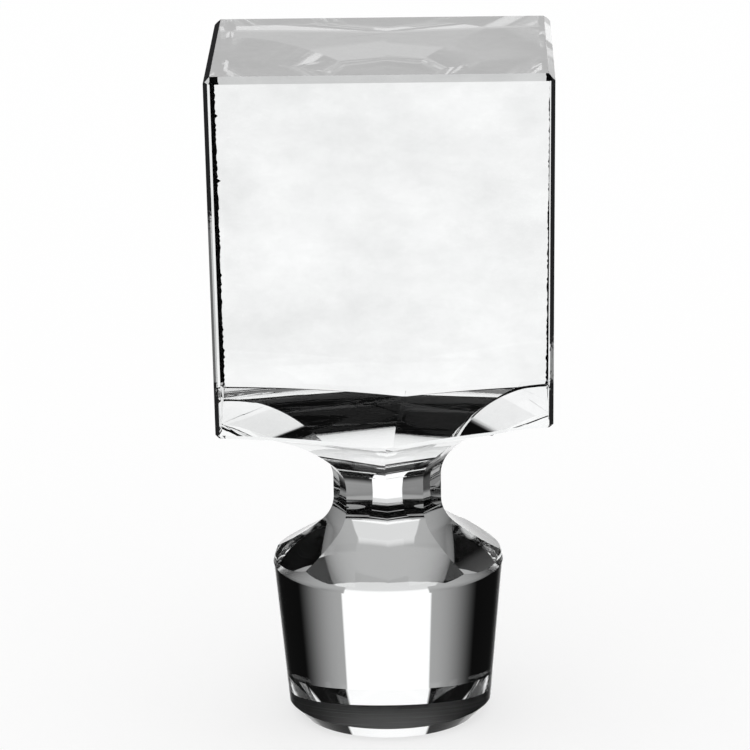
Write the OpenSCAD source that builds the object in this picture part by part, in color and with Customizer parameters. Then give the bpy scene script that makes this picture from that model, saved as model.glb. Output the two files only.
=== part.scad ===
// Cut-glass decanter stopper with a block head.
// One solid piece: a lapped rectangular head, a neck and shoulder cut by eight
// hollow wheel cuts, and a round ground taper plug that fits the decanter's mouth.
// It stands on the flat base of its plug. +Z is up, and the origin is the
// centre of that base.

/* [Head] */
// Width of the head across its top, left to right
head_w = 45; // [36:0.5:56]
// Depth of the head across its top, front to back
head_d = 34.5; // [28:0.5:42]
// Height of the head's top face above the base of the plug
total_h = 92.2; // [84:0.2:112]
// Draft of the head's four sides, which narrow towards the neck, in degrees
head_draft = 0.55; // [0:0.05:2]
// Width of the flat bevel along each upright edge, measured along the side
upright_bevel = 1.1; // [0.4:0.1:2.5]
// Width of the flat bevel round the top face, measured along the side
top_bevel = 0.85; // [0.4:0.05:2.5]

/* [Neck and cuts] */
// Width of the neck across two opposite ridges, where it is thinnest
neck_w = 14.5; // [11:0.1:18]
// Height at which the straight part of the neck begins
neck_low = 30.15; // [29:0.05:31]
// Height at which the straight part of the neck ends
neck_high = 33.3; // [32:0.05:36]
// Radius of the cutting wheel's edge, which rounds the neck into both cuts
nose_r = 4.6; // [3:0.1:5.5]
// Radius of the wheel's face, which hollows the cuts
wheel_r = 26; // [20:0.5:36]
// Slope of the upper cut where it leaves the neck, in degrees from level
upper_slope = 46; // [38:1:55]
// Slope of the lower cut where it leaves the neck, in degrees from level
lower_slope = 42; // [36:1:50]
// How far the four side-facing cuts are turned about the axis, in degrees
side_turn = -4; // [-6:0.5:6]
// How much lower the cuts on the left run than the even height
left_drop = 0.7; // [0:0.1:1]
// How much higher the two back cuts run than the even height
back_rise = 0.9; // [0:0.1:1.2]
// How far the two back cuts face from straight back, in degrees
back_turn = 18; // [16:0.5:24]
// How far the right back cut's upper part is rolled up to its left, in degrees
back_roll = 1.4; // [0:0.1:3]
// How far the left front cut's upper part is rolled up to its left, in degrees
front_roll = 1.1; // [0:0.1:3]

/* [Plug] */
// Diameter of the ground taper at its large end
plug_d = 31; // [26:0.2:36]
// Height of the large end above the base
plug_h = 21.4; // [18:0.1:24]
// Half angle of the ground taper, in degrees
taper = 5.1; // [2:0.1:7]
// Height of the bevel round the base
base_bevel_h = 1.9; // [0.4:0.1:3]
// Width of the bevel round the base
base_bevel_w = 1.8; // [0.4:0.1:3]
// Radius of the polished band between the taper and the lower cuts
band_r = 5; // [3:0.1:6]
// Lean of that band where it meets the taper, in degrees
band_lean = 12; // [8:1:20]

/* [Hidden] */

$fn = 128;
reach = 2 * max(head_w, head_d, total_h);
wall_lean = tan(taper);
foot_r = plug_d / 2 - (plug_h - base_bevel_h) * wall_lean;
band_centre = [plug_d / 2, plug_h] - band_r * [cos(band_lean), sin(band_lean)];
core_r = plug_d / 2 - 2;
flat = neck_w / 2 * cos(22.5);
join = 0.3;

// The eight cuts, from the one at the right back and on round the axis. Each
// has the azimuth it faces, how far its upper part is raised, the slope at which
// that part leaves the neck, and how far that part is rolled up to its left.
CUTS = [
    [22.5 + side_turn, -0.1, upper_slope + 0.5, 0],
    [90 - back_turn, back_rise - 0.4, upper_slope, back_roll],
    [90 + back_turn, back_rise + 0.1, upper_slope, -1.5 * back_roll],
    [157.5 + side_turn, -left_drop / 2, upper_slope - 2, 0],
    [202.5 + side_turn, -left_drop, upper_slope - 2, 0],
    [247.5, -0.25, upper_slope, front_roll],
    [292.5, -0.05, upper_slope, 1.2 * front_roll],
    [337.5 + side_turn, 0.2, upper_slope + 0.5, 0],
];

// Everything beyond a flat that faces the azimuth turn, at a distance from the
// axis at height z. A positive lean brings the flat in towards the base.
module flat_off(turn, distance, z, lean = 0) {
    rotate([0, 0, turn])
        translate([distance, 0, z])
            rotate([0, lean, 0])
                translate([0, -reach, -reach])
                    cube(2 * reach);
}

// The head as it is lapped: four sides, four upright bevels and the top bevel.
module head_stock() {
    side_reach = [head_w / 2, head_d / 2];
    corner_reach = (head_w + head_d - upright_bevel) / 2;
    difference() {
        translate([-head_w, -head_d, neck_high])
            cube([2 * head_w, 2 * head_d, total_h - neck_high]);
        for (side = [0 : 3]) {
            flat_off(90 * side, side_reach[side % 2], total_h, head_draft);
            flat_off(90 * side, side_reach[side % 2] - top_bevel, total_h, -45);
            flat_off(45 + 90 * side, corner_reach / sqrt(2), total_h,
                     atan(sqrt(2) * tan(head_draft)));
        }
    }
}

// The plug and the round stock above it, before the neck is cut.
module plug_stock() {
    rotate_extrude() {
        polygon([
            [0, 0],
            [foot_r - base_bevel_w, 0],
            [foot_r, base_bevel_h],
            [plug_d / 2, plug_h],
            [0, plug_h],
        ]);
        intersection() {
            translate(band_centre) circle(band_r);
            translate([0, plug_h]) square(plug_d);
        }
        translate([0, plug_h])
            square([core_r, neck_high + 2 * nose_r - plug_h]);
    }
}

// Section through the upper half of a hollow cut. x is the distance from the
// axis, and y is the height above the level where it leaves the neck at slope.
// The half goes a little below the middle of the neck, gap high, to join the other.
module cut_half(slope, gap) {
    nose = [flat + nose_r, 0];
    face = nose + (wheel_r - nose_r) * [sin(slope), -cos(slope)];
    meet = nose + nose_r * [-sin(slope), cos(slope)];
    low = -gap / 2 - join;
    translate(nose) circle(nose_r);
    polygon([[flat, low], [flat, 0], nose, meet, [2 * wheel_r, meet[1]], [2 * wheel_r, low]]);
    intersection() {
        translate(face) circle(wheel_r);
        translate(meet) square(2 * wheel_r);
    }
}

// One hollow cut, as the air that the wheel leaves.
module hollow_cut(azimuth, rise, slope, roll) {
    gap = neck_high + rise - neck_low;
    rotate([0, 0, azimuth]) {
        translate([0, 0, neck_high])
            rotate([roll, 0, 0])
                translate([0, 0, rise])
                    rotate([90, 0, 0])
                        linear_extrude(reach, center = true) cut_half(slope, gap);
        translate([0, 0, neck_low])
            mirror([0, 0, 1])
                rotate([90, 0, 0])
                    linear_extrude(reach, center = true) cut_half(lower_slope, gap);
    }
}

module stopper() {
    color([0.93, 0.95, 0.96, 0.5])
        difference() {
            union() {
                head_stock();
                plug_stock();
            }
            for (cut = CUTS) hollow_cut(cut[0], cut[1], cut[2], cut[3]);
        }
}

stopper();
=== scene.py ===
"""Cut crystal decanter stopper, standing on its plug in a bright-field studio."""

import logging
import math
import random
from dataclasses import dataclass, field
from enum import Enum, IntEnum
from typing import Any, Callable

import bmesh
import bpy
from mathutils import Matrix, Vector


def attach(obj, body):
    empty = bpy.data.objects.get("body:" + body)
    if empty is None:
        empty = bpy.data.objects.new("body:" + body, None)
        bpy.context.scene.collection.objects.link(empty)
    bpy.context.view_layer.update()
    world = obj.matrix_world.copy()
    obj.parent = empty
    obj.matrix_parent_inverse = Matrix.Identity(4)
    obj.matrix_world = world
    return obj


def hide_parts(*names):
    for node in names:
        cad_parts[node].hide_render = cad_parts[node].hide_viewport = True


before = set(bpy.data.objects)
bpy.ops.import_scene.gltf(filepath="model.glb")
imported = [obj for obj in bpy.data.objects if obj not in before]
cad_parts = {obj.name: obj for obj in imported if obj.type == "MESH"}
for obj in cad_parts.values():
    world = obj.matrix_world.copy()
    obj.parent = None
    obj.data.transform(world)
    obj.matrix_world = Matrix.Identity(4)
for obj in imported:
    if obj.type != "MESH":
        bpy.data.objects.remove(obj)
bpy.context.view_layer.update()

LOG = logging.getLogger("stopper")
MM = 0.001
LIGHT_BOUNCES = 32


def linear(hex_colour: str) -> tuple[float, float, float, float]:
    """Turns an sRGB colour into the linear values that a socket holds.

    Args:
        hex_colour: The colour as six hex digits after a hash sign.

    Returns:
        Red, green, blue and an alpha of 1.
    """
    channels = [int(hex_colour[i : i + 2], 16) / 255 for i in (1, 3, 5)]
    return (*[c / 12.92 if c <= 0.04045 else ((c + 0.055) / 1.055) ** 2.4 for c in channels], 1.0)


def add_node(tree: bpy.types.NodeTree, kind: str, inputs: dict[Any, Any] | None = None,
             **settings: Any) -> bpy.types.Node:
    """Adds a node with its settings, its values and its links.

    Args:
        tree: The node tree that gets the node.
        kind: The node's type name, without its ShaderNode prefix.
        inputs: A value or an output socket for each input, by name or place.
        settings: The node's own properties.

    Returns:
        The new node.
    """
    node = tree.nodes.new("ShaderNode" + kind)
    for name, value in settings.items():
        setattr(node, name, value)
    for key, value in (inputs or {}).items():
        if isinstance(value, bpy.types.NodeSocket):
            tree.links.new(value, node.inputs[key])
        else:
            node.inputs[key].default_value = value
    return node


def start_material(name: str, **values: Any) -> tuple[bpy.types.Material, bpy.types.Node, Any]:
    """Starts a finish on a Principled shader.

    Args:
        name: The material's name.
        values: The shader's values, by input name with underscores for spaces.

    Returns:
        The material, its shader and the place on the piece, as a socket.
    """
    material = bpy.data.materials.new(name)
    material.use_nodes = True
    shader = material.node_tree.nodes["Principled BSDF"]
    for key, value in values.items():
        shader.inputs[key.replace("_", " ")].default_value = value
    return material, shader, add_node(material.node_tree, "TexCoord").outputs["Object"]


@dataclass(frozen=True)
class PolishedCrystal:
    """Clear crystal, wheel cut and polished with putty.

    The polish leaves a very slight waviness about a centimetre across, which
    bends the edges of what is seen through it, and a few small rubs that dull
    it a little. The head has been held, so an uneven film of wiped finger marks
    greys the view through it. The film is a tint in the glass.
    """

    name: str = "polished_cut_crystal"
    tint: str = "#fdfefe"
    film: str = "#e0e1e1"
    ior: float = 1.52
    wave_mm: float = 9.0
    wave_height_mm: float = 0.0006
    rub_mm: float = 0.9
    film_mm: float = 11.0
    film_flatness: float = 1.5
    held_mm: tuple[float, float] = (40.0, 48.0)

    def build(self) -> bpy.types.Material:
        """Makes the material and returns it."""
        material, shader, place = start_material(self.name, Transmission_Weight=1.0, IOR=self.ior)
        tree = material.node_tree
        across = add_node(tree, "Mapping", {"Vector": place, "Scale": (1.0, 1.0, self.film_flatness)})
        film = add_node(tree, "TexNoise", {"Vector": across.outputs["Vector"],
                                           "Scale": 1 / (self.film_mm * MM), "Detail": 6.0,
                                           "Roughness": 0.62})
        amount = add_node(tree, "MapRange", {"Value": film.outputs["Fac"], "From Min": 0.27,
                                             "From Max": 0.75, "To Min": 1.0, "To Max": 0.0})
        height = add_node(tree, "SeparateXYZ", {"Vector": place}).outputs["Z"]
        low, high = self.held_mm
        held = add_node(tree, "MapRange", {"Value": height, "From Min": low * MM, "From Max": high * MM})
        cover = add_node(tree, "Math", {0: amount.outputs["Result"], 1: held.outputs["Result"]},
                         operation="MULTIPLY")
        tone = add_node(tree, "Mix", {0: cover.outputs[0], 6: linear(self.tint),
                                      7: linear(self.film)}, data_type="RGBA")
        tree.links.new(tone.outputs[2], shader.inputs["Base Color"])
        waves = add_node(tree, "TexNoise", {"Vector": place, "Scale": 1 / (self.wave_mm * MM),
                                            "Detail": 1.0, "Roughness": 0.4})
        bump = add_node(tree, "Bump", {"Height": waves.outputs["Fac"], "Strength": 1.0,
                                       "Distance": self.wave_height_mm * MM})
        tree.links.new(bump.outputs["Normal"], shader.inputs["Normal"])
        rubs = add_node(tree, "TexNoise", {"Vector": place, "Scale": 1 / (self.rub_mm * MM),
                                           "Detail": 4.0, "Roughness": 0.7})
        dull = add_node(tree, "MapRange", {"Value": rubs.outputs["Fac"], "From Min": 0.62,
                                           "From Max": 0.8, "To Min": 0.0, "To Max": 0.025})
        tree.links.new(dull.outputs["Result"], shader.inputs["Roughness"])
        return material


@dataclass(frozen=True)
class PaintedReflectionTop:
    """The polished top face, under a matt grey film that is painted reflection.

    The film is a painted reflection of the bright panel, a little uneven. It shows
    from outside only, and light inside the head turns back under it as under a clean face.
    """

    name: str = "top_painted_reflection"
    tint: str = "#fdfefe"
    reflection_grey: str = "#c5c5c5"
    ior: float = 1.52
    thinnest: float = 0.57
    thickest: float = 0.67
    unevenness_mm: float = 6.0

    def build(self) -> bpy.types.Material:
        """Makes the material and returns it."""
        material, clear, place = start_material(self.name, Base_Color=linear(self.tint), IOR=self.ior,
                                                Transmission_Weight=1.0, Roughness=0.01)
        tree = material.node_tree
        # Painted reflection: a grey matt layer over most of the top's outside stands in for the mirrored
        # panel.
        film = add_node(tree, "BsdfDiffuse", {"Color": linear(self.reflection_grey)})
        unevenness = add_node(tree, "TexNoise", {"Vector": place, "Scale": 1 / (self.unevenness_mm * MM),
                                             "Detail": 7.0, "Roughness": 0.65})
        cover = add_node(tree, "MapRange", {"Value": unevenness.outputs["Fac"], "From Min": 0.35,
                                            "From Max": 0.65, "To Min": self.thinnest,
                                            "To Max": self.thickest})
        outside = add_node(tree, "Math", {0: 1.0, 1: add_node(tree, "NewGeometry").outputs["Backfacing"]},
                           operation="SUBTRACT")
        share = add_node(tree, "Math", {0: cover.outputs["Result"], 1: outside.outputs[0]},
                         operation="MULTIPLY")
        mix = add_node(tree, "MixShader", {0: share.outputs[0], 1: clear.outputs["BSDF"],
                                           2: film.outputs["BSDF"]})
        tree.links.new(mix.outputs["Shader"], tree.nodes["Material Output"].inputs["Surface"])
        return material


@dataclass(frozen=True)
class LappedBevel:
    """A bevel of the head, lapped and left with its grind but for one stretch.

    Over the grind lies painted shade, a dark matt layer, so it stays nearly black.
    The stretch between the two heights is polished, and a greyer tint there darkens
    what is seen through it.
    """

    name: str
    polished_mm: tuple[float, float] = (0.0, 0.0)
    painted_shade: str = "#2b2b2c"
    tint: str = "#f6f7f7"
    ior: float = 1.52
    grind_mm: float = 0.5
    waver_mm: float = 2.0
    border_mm: float = 1.0

    def build(self) -> bpy.types.Material:
        """Makes the material and returns it."""
        material, clear, place = start_material(self.name, Base_Color=linear(self.tint), IOR=self.ior,
                                                Transmission_Weight=1.0, Roughness=0.02)
        tree = material.node_tree
        height = add_node(tree, "SeparateXYZ", {"Vector": place}).outputs["Z"]
        grind = add_node(tree, "TexNoise", {"Vector": place, "Scale": 1 / (self.grind_mm * MM),
                                            "Detail": 3.0, "Roughness": 0.7})
        waver = add_node(tree, "MapRange", {"Value": grind.outputs["Fac"], "From Min": 0.3, "From Max": 0.7,
                                            "To Min": -self.waver_mm * MM, "To Max": self.waver_mm * MM})
        level = add_node(tree, "Math", {0: height, 1: waver.outputs["Result"]}, operation="ADD")
        low, high = self.polished_mm
        middle, half, border = (low + high) / 2 * MM, (high - low) / 2 * MM, self.border_mm * MM
        away = add_node(tree, "Math", {0: level.outputs[0], 1: middle}, operation="SUBTRACT")
        apart = add_node(tree, "Math", {0: away.outputs[0]}, operation="ABSOLUTE")
        ground = add_node(tree, "MapRange", {"Value": apart.outputs[0], "From Min": half - border / 2,
                                             "From Max": half + border / 2})
        # Painted shade: a dark matt layer over the bevel outside its polished stretch.
        painted_shade = add_node(tree, "BsdfDiffuse", {"Color": linear(self.painted_shade)})
        mix = add_node(tree, "MixShader", {0: ground.outputs["Result"], 1: clear.outputs["BSDF"],
                                           2: painted_shade.outputs["BSDF"]})
        tree.links.new(mix.outputs["Shader"], tree.nodes["Material Output"].inputs["Surface"])
        return material


@dataclass(frozen=True)
class GroundBase:
    """The plug's base, ground flat on a lap with coarse grit and left matt.

    It stands on the table, so little light comes in there, and from above it
    shows as a dark grey floor to the plug with a few brighter lap marks. It is
    drawn as an opaque matt face, with that shade painted into its dark colour.
    """

    name: str = "ground_base_painted_shade"
    # Painted shade: the base's nearly black colour stands in for the contact shade under it.
    dark: str = "#060606"
    mark: str = "#8a8a8c"
    ior: float = 1.52
    mark_wide_mm: float = 0.35
    mark_long_mm: float = 11.11

    def build(self) -> bpy.types.Material:
        """Makes the material and returns it."""
        material, shader, place = start_material(self.name, IOR=self.ior, Roughness=0.55)
        tree = material.node_tree
        marks = add_node(tree, "Mapping", {"Vector": place, "Scale": (
            1 / (self.mark_long_mm * MM), 1 / (self.mark_wide_mm * MM), 1.0)})
        lap = add_node(tree, "TexNoise", {"Vector": marks.outputs["Vector"], "Scale": 1.0,
                                          "Detail": 3.0, "Roughness": 0.65})
        tone = add_node(tree, "ValToRGB", {"Fac": lap.outputs["Fac"]})
        for stop, position, colour in zip(tone.color_ramp.elements, (0.55, 0.78), (self.dark, self.mark)):
            stop.position = position
            stop.color = linear(colour)
        tree.links.new(tone.outputs["Color"], shader.inputs["Base Color"])
        return material


class Half(Enum):
    """The two halves of a hollow cut, by the way each one opens."""

    UPPER = 1
    LOWER = -1


@dataclass
class HollowCut:
    """One hollow wheel cut, as the two blocks of air that the wheel takes away.

    The sizes are in mm. The azimuth is the way the cut faces, in degrees from
    +X. The upper half is raised by rise, leaves the neck at slope and is rolled
    up to its left by roll, in degrees.
    """

    azimuth: float
    rise: float
    slope: float
    roll: float = 0.0
    flat: float = 6.698
    neck_low: float = 30.15
    neck_high: float = 33.3
    nose_r: float = 4.6
    wheel_r: float = 26.0
    lower_slope: float = 42.0
    join: float = 0.3
    past: float = 20.0
    step: float = 0.9
    reach: float = 60.0

    def section(self, slope: float) -> bmesh.types.BMesh:
        """Draws half of the section upwards from the level where it leaves the neck.

        Args:
            slope: The slope at which the nose runs into the face, in degrees.

        Returns:
            The section as one face in the XZ plane.
        """
        lean = math.radians(slope)
        nose = Vector((self.flat + self.nose_r, 0, 0))
        face = nose + (self.wheel_r - self.nose_r) * Vector((math.sin(lean), 0, -math.cos(lean)))
        low = -(self.neck_high + self.rise - self.neck_low) / 2 - self.join
        mesh = bmesh.new()
        start = end = mesh.verts.new((self.flat * MM, 0, 0))
        for centre, angle in ((nose, 90 - slope), (face, slope + self.past)):
            turned = bmesh.ops.spin(mesh, geom=[end], cent=centre * MM, axis=(0, 1, 0),
                                    angle=math.radians(angle), steps=round(angle / self.step))
            end = next(g for g in turned["geom_last"] if isinstance(g, bmesh.types.BMVert))
        outer = mesh.verts.new((end.co.x, 0, low * MM))
        inner = mesh.verts.new((self.flat * MM, 0, low * MM))
        for pair in ((end, outer), (outer, inner), (inner, start)):
            mesh.edges.new(pair)
        bmesh.ops.contextual_create(mesh, geom=mesh.edges[:])
        return mesh

    def half(self, which: Half) -> bpy.types.Object:
        """Makes the block of air of one half, in its place.

        Args:
            which: The half.

        Returns:
            The block.
        """
        upper = which is Half.UPPER
        mesh = self.section(self.slope if upper else self.lower_slope)
        bmesh.ops.translate(mesh, verts=mesh.verts, vec=(0, -self.reach * MM, 0))
        pushed = bmesh.ops.extrude_face_region(mesh, geom=mesh.faces[:])["geom"]
        bmesh.ops.translate(mesh, verts=[g for g in pushed if isinstance(g, bmesh.types.BMVert)],
                            vec=(0, 2 * self.reach * MM, 0))
        turn = Matrix.Rotation(math.radians(self.azimuth), 4, "Z")
        if upper:
            place = (turn @ Matrix.Translation((0, 0, self.neck_high * MM))
                     @ Matrix.Rotation(math.radians(self.roll), 4, "X")
                     @ Matrix.Translation((0, 0, self.rise * MM)))
        else:
            place = (turn @ Matrix.Translation((0, 0, self.neck_low * MM))
                     @ Matrix.Diagonal((1, 1, -1, 1)))
        bmesh.ops.transform(mesh, verts=mesh.verts, matrix=place)
        bmesh.ops.recalc_face_normals(mesh, faces=mesh.faces)
        return as_object(mesh, f"{which.name.lower()}_cut_{self.azimuth:.0f}")


@dataclass
class BlockHead:
    """The lapped block of the head, before its underside is cut. Sizes in mm."""

    width: float = 45.0
    depth: float = 34.5
    top: float = 92.2
    bottom: float = 33.3
    draft: float = 0.55
    upright_bevel: float = 1.1
    top_bevel: float = 0.85

    def lap(self, mesh: bmesh.types.BMesh, turn: float, distance: float, lean: float) -> None:
        """Takes off everything beyond a flat.

        Args:
            mesh: The block so far.
            turn: The azimuth that the flat faces, in degrees.
            distance: Its distance from the axis at the top, in mm.
            lean: How far the flat comes in towards the base, in degrees.
        """
        face = Matrix.Rotation(math.radians(turn), 3, "Z")
        bmesh.ops.bisect_plane(
            mesh, geom=mesh.verts[:] + mesh.edges[:] + mesh.faces[:], clear_outer=True,
            plane_co=face @ Vector((distance, 0, self.top)) * MM,
            plane_no=face @ Vector((math.cos(math.radians(lean)), 0, -math.sin(math.radians(lean)))))
        bmesh.ops.holes_fill(mesh, edges=mesh.edges)

    def build(self) -> bpy.types.Object:
        """Makes the block and returns it."""
        mesh = bmesh.new()
        size = Vector((2 * self.width, 2 * self.depth, self.top - self.bottom)) * MM
        bmesh.ops.create_cube(mesh, size=1, matrix=Matrix.Diagonal((*size, 1)))
        bmesh.ops.translate(mesh, verts=mesh.verts, vec=(0, 0, (self.top + self.bottom) / 2 * MM))
        corner = (self.width + self.depth - self.upright_bevel) / 2 / math.sqrt(2)
        corner_lean = math.degrees(math.atan(math.sqrt(2) * math.tan(math.radians(self.draft))))
        for side in range(4):
            distance = (self.depth if side % 2 else self.width) / 2
            self.lap(mesh, 90 * side, distance, self.draft)
            self.lap(mesh, 90 * side, distance - self.top_bevel, -45)
            self.lap(mesh, 45 + 90 * side, corner, corner_lean)
        bmesh.ops.recalc_face_normals(mesh, faces=mesh.faces)
        return as_object(mesh, "head_stock")


@dataclass
class TaperPlug:
    """The turned plug with the stock above it, before the neck is cut. Sizes in mm."""

    large_r: float = 15.5
    height: float = 21.4
    taper: float = 5.1
    bevel_height: float = 1.9
    bevel_width: float = 1.8
    band_r: float = 5.0
    band_lean: float = 12.0
    core_r: float = 13.5
    core_top: float = 42.5
    band_steps: int = 30
    round_steps: int = 360

    def build(self) -> bpy.types.Object:
        """Makes the plug and returns it."""
        mesh = bmesh.new()
        foot = self.large_r - (self.height - self.bevel_height) * math.tan(math.radians(self.taper))
        outline = [(0, 0), (foot - self.bevel_width, 0), (foot, self.bevel_height),
                   (self.large_r, self.height)]
        chain = [mesh.verts.new((r * MM, 0, z * MM)) for r, z in outline]
        lean = math.radians(self.band_lean)
        centre = Vector((self.large_r - self.band_r * math.cos(lean), 0,
                         self.height - self.band_r * math.sin(lean)))
        sweep = math.acos((self.core_r - centre.x) / self.band_r) - lean
        turned = bmesh.ops.spin(mesh, geom=[chain[-1]], cent=centre * MM, axis=(0, -1, 0),
                                angle=sweep, steps=self.band_steps)
        rim = next(g for g in turned["geom_last"] if isinstance(g, bmesh.types.BMVert))
        stock = [rim] + [mesh.verts.new((r * MM, 0, self.core_top * MM)) for r in (self.core_r, 0)]
        for run in (chain, stock):
            for a, b in zip(run, run[1:]):
                mesh.edges.new((a, b))
        bmesh.ops.spin(mesh, geom=mesh.verts[:] + mesh.edges[:], cent=(0, 0, 0), axis=(0, 0, 1),
                       angle=math.tau, steps=self.round_steps, use_merge=True)
        bmesh.ops.remove_doubles(mesh, verts=mesh.verts, dist=1e-7)
        bmesh.ops.recalc_face_normals(mesh, faces=mesh.faces)
        return as_object(mesh, "plug_stock")


class Finish(IntEnum):
    """The stopper's material slots."""

    POLISHED = 0
    GROUND = 1
    # The top face, with its painted reflection.
    DUSTED = 2
    LEFT_BEVEL = 3
    RIGHT_BEVEL = 4
    # Bevels that are painted dark as shade all over.
    PAINTED_SHADE_BEVEL = 5


class Faces:
    """Tells the head's faces apart by their normals."""

    @staticmethod
    def upright(way: Vector) -> bool:
        """Tells whether a face is one of the eight upright ones."""
        return abs(way.z) < 0.03

    @staticmethod
    def corner(way: Vector) -> bool:
        """Tells whether a face is an upright bevel."""
        return Faces.upright(way) and 0.6 < abs(way.x) < 0.8

    @staticmethod
    def wall(way: Vector) -> bool:
        """Tells whether a face is one of the four sides."""
        return Faces.upright(way) and not Faces.corner(way)

    @staticmethod
    def front(way: Vector) -> bool:
        """Tells whether a face is the front."""
        return Faces.wall(way) and way.y < -0.9

    @staticmethod
    def left_top(way: Vector) -> bool:
        """Tells whether a face is the bevel along the left edge of the top."""
        return way.x < -0.6 and way.z > 0.6

    @staticmethod
    def under(way: Vector) -> bool:
        """Tells whether a face belongs to the hollow cuts below the head."""
        return way.z < -0.1


@dataclass(frozen=True)
class EdgeWork:
    """The small work and the wear along the head's edges. Sizes in mm."""

    above: float = 34.0
    lower_bevel: float = 0.5
    left_round: float = 0.42
    right_round: float = 0.16
    chip_every: float = 0.32
    chip: float = 0.16
    nick: float = 0.55
    nick_share: float = 0.05
    front_share: float = 0.35
    longer_than: float = 30.0
    seed: int = 11

    def between(self, mesh: bmesh.types.BMesh, one: Callable[[Vector], bool],
                other: Callable[[Vector], bool]) -> list[bmesh.types.BMEdge]:
        """Finds the head's edges that lie between two kinds of face.

        Args:
            mesh: The solid.
            one: The test of the normal on one side of an edge.
            other: The test of the normal on its other side.

        Returns:
            The edges.
        """
        found = []
        for edge in mesh.edges:
            a, b = (face.normal for face in edge.link_faces)
            if edge.verts[0].co.z > self.above * MM and (one(a) and other(b) or one(b) and other(a)):
                found.append(edge)
        return found

    def bevel(self, mesh: bmesh.types.BMesh, edges: list[bmesh.types.BMEdge], width: float,
              segments: int) -> None:
        """Bevels edges, flat with one segment and round with more."""
        bmesh.ops.bevel(mesh, geom=edges, offset=width * MM, offset_type="OFFSET", segments=segments,
                        profile=0.5, affect="EDGES", clamp_overlap=False, material=-1)

    def chip_edge(self, mesh: bmesh.types.BMesh, edge: bmesh.types.BMEdge, chance: random.Random) -> None:
        """Breaks an upright edge into small chips that eat into the side next to it.

        Args:
            mesh: The solid.
            edge: An edge between an upright bevel and a side.
            chance: The source of the chips' depths.
        """
        wall = next(face for face in edge.link_faces if not Faces.corner(face.normal))
        inward = wall.normal.cross(edge.verts[1].co - edge.verts[0].co).normalized()
        if inward.dot(wall.calc_center_median() - edge.verts[0].co) < 0:
            inward.negate()
        share = 1.0 if wall.normal.y > 0.9 else self.front_share
        cuts = round(edge.calc_length() / (self.chip_every * MM))
        for vert in bmesh.ops.subdivide_edges(mesh, edges=[edge], cuts=cuts)["geom_inner"]:
            if isinstance(vert, bmesh.types.BMVert):
                depth = self.chip * chance.random() ** 2
                if chance.random() < self.nick_share:
                    depth += self.nick * chance.random()
                vert.co += inward * depth * share * MM

    def apply(self, mesh: bmesh.types.BMesh) -> None:
        """Works all the edges of the head."""
        self.bevel(mesh, self.between(mesh, Faces.upright, Faces.under), self.lower_bevel, 1)
        for side, width in ((-1, self.left_round), (1, self.right_round)):
            self.bevel(mesh, [edge for edge in self.between(mesh, Faces.front, Faces.corner)
                              if side * edge.verts[0].co.x > 0], width, 10)
        chance = random.Random(self.seed)
        for edge in self.between(mesh, Faces.wall, Faces.corner):
            still_sharp = edge.calc_face_angle() > math.radians(30)
            if still_sharp and edge.calc_length() > self.longer_than * MM:
                self.chip_edge(mesh, edge, chance)
        bmesh.ops.triangulate(mesh, faces=[face for face in mesh.faces
                                           if face.material_index >= Finish.LEFT_BEVEL])
        bmesh.ops.recalc_face_normals(mesh, faces=mesh.faces)


def as_object(mesh: bmesh.types.BMesh, name: str) -> bpy.types.Object:
    """Turns a finished bmesh into an object in the scene.

    Args:
        mesh: The bmesh, which is freed.
        name: The name of the object and of its mesh.

    Returns:
        The new object, at the origin.
    """
    data = bpy.data.meshes.new(name)
    mesh.to_mesh(data)
    mesh.free()
    thing = bpy.data.objects.new(name, data)
    bpy.context.scene.collection.objects.link(thing)
    return thing


def combine(base: bpy.types.Object, others: list[bpy.types.Object], operation: str) -> None:
    """Joins or cuts a solid with others in one step, and removes the others.

    Args:
        base: The solid that keeps the result.
        others: The solids that it is worked with.
        operation: UNION or DIFFERENCE.
    """
    tools = bpy.data.collections.new("tools")
    for other in others:
        tools.objects.link(other)
    step = base.modifiers.new("combine", "BOOLEAN")
    step.operation = operation
    step.solver = "EXACT"
    step.operand_type = "COLLECTION"
    step.collection = tools
    graph = bpy.context.evaluated_depsgraph_get()
    made = bpy.data.meshes.new_from_object(base.evaluated_get(graph))
    base.modifiers.clear()
    base.data = made
    for other in others:
        bpy.data.objects.remove(other)
    bpy.data.collections.remove(tools)


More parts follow.
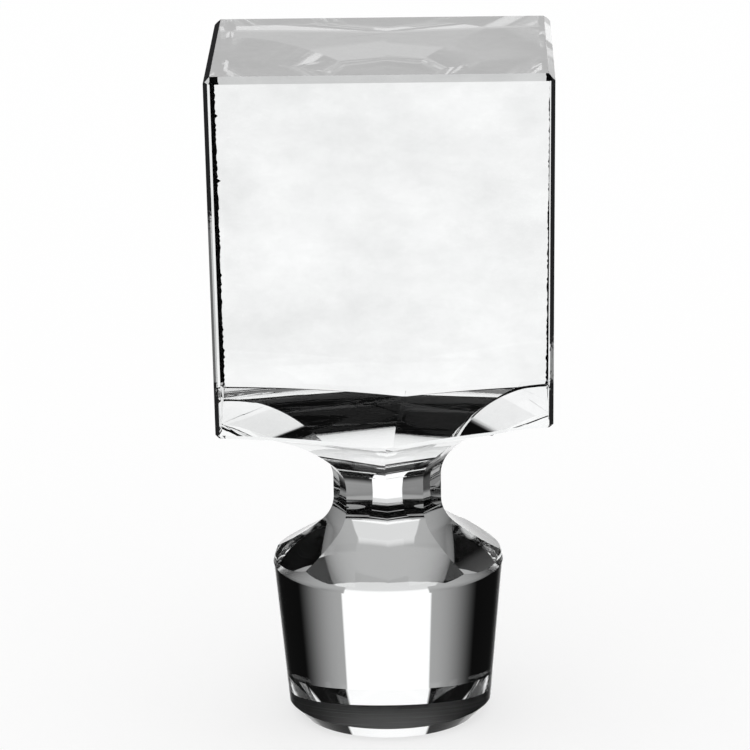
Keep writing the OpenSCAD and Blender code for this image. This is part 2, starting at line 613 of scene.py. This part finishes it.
@dataclass
class Stopper:
    """The whole stopper, one piece of crystal. Sizes in mm, angles in degrees."""

    side_turn: float = -4.0
    left_drop: float = 0.7
    back_rise: float = 0.9
    back_turn: float = 18.0
    back_roll: float = 1.4
    front_roll: float = 1.1
    upper_slope: float = 46.0
    sharp_above: float = 5.0
    head: BlockHead = field(default_factory=BlockHead)
    plug: TaperPlug = field(default_factory=TaperPlug)
    edges: EdgeWork = field(default_factory=EdgeWork)
    crystal: PolishedCrystal = field(default_factory=PolishedCrystal)
    ground: GroundBase = field(default_factory=GroundBase)
    dusted: PaintedReflectionTop = field(default_factory=PaintedReflectionTop)
    # Each bevel is painted dark as shade outside its polished stretch; the left one's grey tint darkens
    # that stretch.
    bevels: tuple[LappedBevel, ...] = (LappedBevel("lapped_left_bevel", (50.6, 73.4), tint="#959696"),
                                       LappedBevel("lapped_right_bevel", (50.9, 56.3)),
                                       LappedBevel("lapped_bevels_painted_shade"))

    def cuts(self) -> list[HollowCut]:
        """Lists the eight cuts, from the right back and on round the axis."""
        slope = self.upper_slope
        return [
            HollowCut(22.5 + self.side_turn, -0.1, slope + 0.5),
            HollowCut(90 - self.back_turn, self.back_rise - 0.4, slope, self.back_roll),
            HollowCut(90 + self.back_turn, self.back_rise + 0.1, slope, -1.5 * self.back_roll),
            HollowCut(157.5 + self.side_turn, -self.left_drop / 2, slope - 2),
            HollowCut(202.5 + self.side_turn, -self.left_drop, slope - 2),
            HollowCut(247.5, -0.25, slope, self.front_roll),
            HollowCut(292.5, -0.05, slope, 1.2 * self.front_roll),
            HollowCut(337.5 + self.side_turn, 0.2, slope + 0.5),
        ]

    def finish_of(self, face: bmesh.types.BMFace) -> Finish:
        """Tells how a face of the solid is finished.

        Args:
            face: The face.

        Returns:
            Its finish.
        """
        way, middle, near = face.normal, face.calc_center_median() / MM, 0.01
        on_head = middle.z > self.edges.above
        # These bevels are painted dark as shade.
        if on_head and (Faces.left_top(way) or Faces.corner(way) and middle.y > 0):
            return Finish.PAINTED_SHADE_BEVEL
        if on_head and Faces.corner(way):
            return Finish.LEFT_BEVEL if middle.x < 0 else Finish.RIGHT_BEVEL
        # The top face takes the painted reflection of the bright panel.
        if middle.z > self.head.top - near:
            return Finish.DUSTED
        # The base takes the painted contact shade.
        if middle.z < near:
            return Finish.GROUND
        return Finish.POLISHED

    def dress(self, piece: bpy.types.Object) -> None:
        """Works the edges and gives the faces their finishes.

        Args:
            piece: The finished solid.
        """
        data = piece.data
        data.materials.clear()
        for finish in (self.crystal, self.ground, self.dusted, *self.bevels):
            data.materials.append(finish.build())
        mesh = bmesh.new()
        mesh.from_mesh(data)
        for face in mesh.faces:
            face.smooth = True
            face.material_index = self.finish_of(face)
        self.edges.apply(mesh)
        mesh.to_mesh(data)
        mesh.free()
        data.set_sharp_from_angle(angle=math.radians(self.sharp_above))

    def build(self) -> bpy.types.Object:
        """Makes the stopper and returns it."""
        piece = self.plug.build()
        combine(piece, [self.head.build()], "UNION")
        combine(piece, [cut.half(which) for cut in self.cuts() for which in Half], "DIFFERENCE")
        piece.name = piece.data.name = "cut_stopper"
        self.dress(piece)
        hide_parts("stopper")
        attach(piece, "root")
        return piece


@dataclass
class Floor:
    """The pale table top, 12 m across. It shows to the camera and takes the soft shadow."""

    half: float = 6.0
    paint: str = "#a9a9a9"
    glow: float = 0.6

    def build(self) -> bpy.types.Object:
        """Makes the floor and returns it."""
        mesh = bmesh.new()
        bmesh.ops.create_grid(mesh, x_segments=1, y_segments=1, size=self.half)
        floor = as_object(mesh, "floor")
        material = bpy.data.materials.new("matt_white_board")
        material.use_nodes = True
        tree = material.node_tree
        shader = tree.nodes["Principled BSDF"]
        shader.inputs["Base Color"].default_value = linear(self.paint)
        shader.inputs["Roughness"].default_value = 1.0
        shader.inputs["Specular IOR Level"].default_value = 0.0
        shader.inputs["Emission Color"].default_value = (1, 1, 1, 1)
        seen = add_node(tree, "LightPath").outputs["Is Camera Ray"]
        lift = add_node(tree, "Math", {0: seen, 1: self.glow}, operation="MULTIPLY")
        tree.links.new(lift.outputs[0], shader.inputs["Emission Strength"])
        floor.data.materials.append(material)
        floor.visible_transmission = False
        floor.visible_glossy = False
        return floor


@dataclass(frozen=True)
class Card:
    """A light card or a lit stretch of wall, as the directions that it fills.

    Angles are in degrees. Azimuths count both ways from straight behind the
    object, and heights from level. Each side fades over its own edge, outwards.
    """

    azimuth: tuple[float, float]
    height: tuple[float, float]
    level: float
    side_edge: float = 1.5
    low_edge: float = 4.0
    high_edge: float = 4.0


@dataclass(frozen=True)
class Softbox:
    """A round softbox, by the direction of its middle and its angular radius, in degrees."""

    azimuth: float
    height: float
    radius: float
    level: float
    edge: float = 2.5


@dataclass
class Studio:
    """The bright-field studio: a white panel behind, with dark flags to its sides.

    The camera and matt surfaces see plain white all round. The glass sees
    something else: the panel, the flags, the softboxes and cards that stand for
    the grey table, because the floor is hidden from it. What the glass mirrors
    is dimmed away from the panel and what it lets through isn't, which no real
    lamp can do. The two azimuths of dimming are where that starts and where it
    is full.
    """

    dark: float = 0.004
    mirrored_room: float = 0.06
    dimming: tuple[float, float] = (14.0, 40.0)
    cards: tuple[Card, ...] = (
        # The white panel, the bright table at its foot and the glow beside it.
        Card((-16, 16), (-26, 50), 1.12, low_edge=5),
        Card((-16, 16), (-45, -20), 0.77),
        Card((-16, 16), (-30, -13), 0.40, side_edge=27, high_edge=8),
        # Cards for the grey table, behind and then beside and before the stopper.
        Card((-12, 12), (-95, -28), 0.46, side_edge=80, high_edge=9),
        Card((60, 180), (-95, -58), 0.28, side_edge=30, high_edge=14),
        # The two reflector cards at the sides.
        Card((82, 112), (-30, 4), 0.62, side_edge=8, high_edge=8),
        Card((122, 146), (-14, 4), 0.50, side_edge=5, high_edge=8),
        # Cards for the nearer part of the table in front.
        Card((164, 180), (-62, -45), 0.44, side_edge=8, high_edge=3),
        Card((146, 180), (-50, -30), 0.22, side_edge=6, high_edge=8),
    )
    softboxes: tuple[Softbox, ...] = (Softbox(0, 50, 28, 1.0), Softbox(96, 44, 13, 0.9))

    def build(self) -> None:
        """Makes the world."""
        world = bpy.data.worlds.new("bright_field_studio")
        world.use_nodes = True
        bpy.context.scene.world = world
        tree = world.node_tree
        rad = math.pi / 180

        def ramp(value: Any, low: float, high: float, at_low: float, at_high: float) -> Any:
            """Eases from at_low to at_high as value goes from low to high."""
            return add_node(tree, "MapRange", {"Value": value, "From Min": low, "From Max": high,
                                               "To Min": at_low, "To Max": at_high},
                            interpolation_type="SMOOTHSTEP").outputs["Result"]

        def both(operation: str, a: Any, b: Any = 0.0) -> Any:
            """Works two values together."""
            return add_node(tree, "Math", {0: a, 1: b}, operation=operation).outputs[0]

        way = add_node(tree, "TexCoord").outputs["Generated"]
        x, y, z = add_node(tree, "SeparateXYZ", {"Vector": way}).outputs
        aside = both("ABSOLUTE", x)
        azimuth = both("ARCTAN2", aside, y)
        height = both("ARCSINE", z)
        light = self.dark
        for card in self.cards:
            (left, right), (low, high) = card.azimuth, card.height
            shape = ramp(azimuth, right * rad, (right + card.side_edge) * rad, card.level, 0)
            fades = [ramp(height, (low - card.low_edge) * rad, low * rad, 0, 1),
                     ramp(height, high * rad, (high + card.high_edge) * rad, 1, 0)]
            if left > 0:
                fades.append(ramp(azimuth, (left - card.side_edge) * rad, left * rad, 0, 1))
            for fade in fades:
                shape = both("MULTIPLY", shape, fade)
            light = both("MAXIMUM", light, shape)
        for box in self.softboxes:
            turn, lift = box.azimuth * rad, box.height * rad
            middle = (math.sin(turn) * math.cos(lift), math.cos(turn) * math.cos(lift), math.sin(lift))
            towards = add_node(tree, "CombineXYZ", {"X": aside, "Y": y, "Z": z}).outputs[0]
            along = add_node(tree, "VectorMath", {0: towards, 1: middle}, operation="DOT_PRODUCT")
            shape = ramp(along.outputs["Value"], math.cos((box.radius + box.edge) * rad),
                         math.cos(box.radius * rad), 0, box.level)
            light = both("MAXIMUM", light, shape)
        path = add_node(tree, "LightPath").outputs
        starts, full = self.dimming
        mirrored = both("MULTIPLY", light, ramp(azimuth, starts * rad, full * rad, 1, self.mirrored_room))
        light = add_node(tree, "Mix", {"Factor": path["Is Transmission Ray"], 2: mirrored, 3: light},
                         data_type="FLOAT").outputs[0]
        glass = both("MAXIMUM", path["Is Glossy Ray"], path["Is Transmission Ray"])
        level = add_node(tree, "Mix", {"Factor": glass, 2: 1.0, 3: light}, data_type="FLOAT").outputs[0]
        tree.links.new(level, tree.nodes["Background"].inputs["Strength"])
        tree.nodes["Background"].inputs["Color"].default_value = (1, 1, 1, 1)


@dataclass
class Viewpoint:
    """The camera. Angles in degrees, lengths in mm."""

    sensor: float = 36.0
    lens: float = 230.064
    distance: float = 639.67
    pitch: float = 17.129
    yaw: float = -1.091
    roll: float = -0.901
    aim: tuple[float, float, float] = (-1.403, 0.0, 47.147)

    def build(self) -> bpy.types.Object:
        """Makes the camera, makes it the scene's camera and returns it."""
        pitch, yaw, roll = (math.radians(a) for a in (self.pitch, self.yaw, self.roll))
        ahead = Vector((math.sin(yaw) * math.cos(pitch), math.cos(yaw) * math.cos(pitch), -math.sin(pitch)))
        level = Vector((math.cos(yaw), -math.sin(yaw), 0))
        up = level.cross(ahead)
        right = level * math.cos(roll) + up * math.sin(roll)
        above = up * math.cos(roll) - level * math.sin(roll)
        data = bpy.data.cameras.new("camera")
        data.sensor_width = self.sensor
        data.lens = self.lens
        data.clip_start = 10 * MM
        camera = bpy.data.objects.new("camera", data)
        bpy.context.scene.collection.objects.link(camera)
        place = Matrix((right, above, -ahead)).transposed().to_4x4()
        place.translation = (Vector(self.aim) - ahead * self.distance) * MM
        camera.matrix_world = place
        bpy.context.scene.camera = camera
        return camera


def main() -> None:
    """Builds the scene in order and reports each piece."""
    logging.basicConfig(level=logging.INFO, format="%(name)s: %(message)s")
    scene = bpy.context.scene
    scene.view_settings.view_transform = "Standard"
    scene.cycles.max_bounces = LIGHT_BOUNCES
    scene.cycles.glossy_bounces = LIGHT_BOUNCES
    scene.cycles.transmission_bounces = LIGHT_BOUNCES
    Viewpoint().build()
    Studio().build()
    Floor().build()
    piece = Stopper().build()
    LOG.info("%s has %d faces", piece.name, len(piece.data.polygons))
    bpy.context.view_layer.update()


if __name__ == "__main__":
    main()
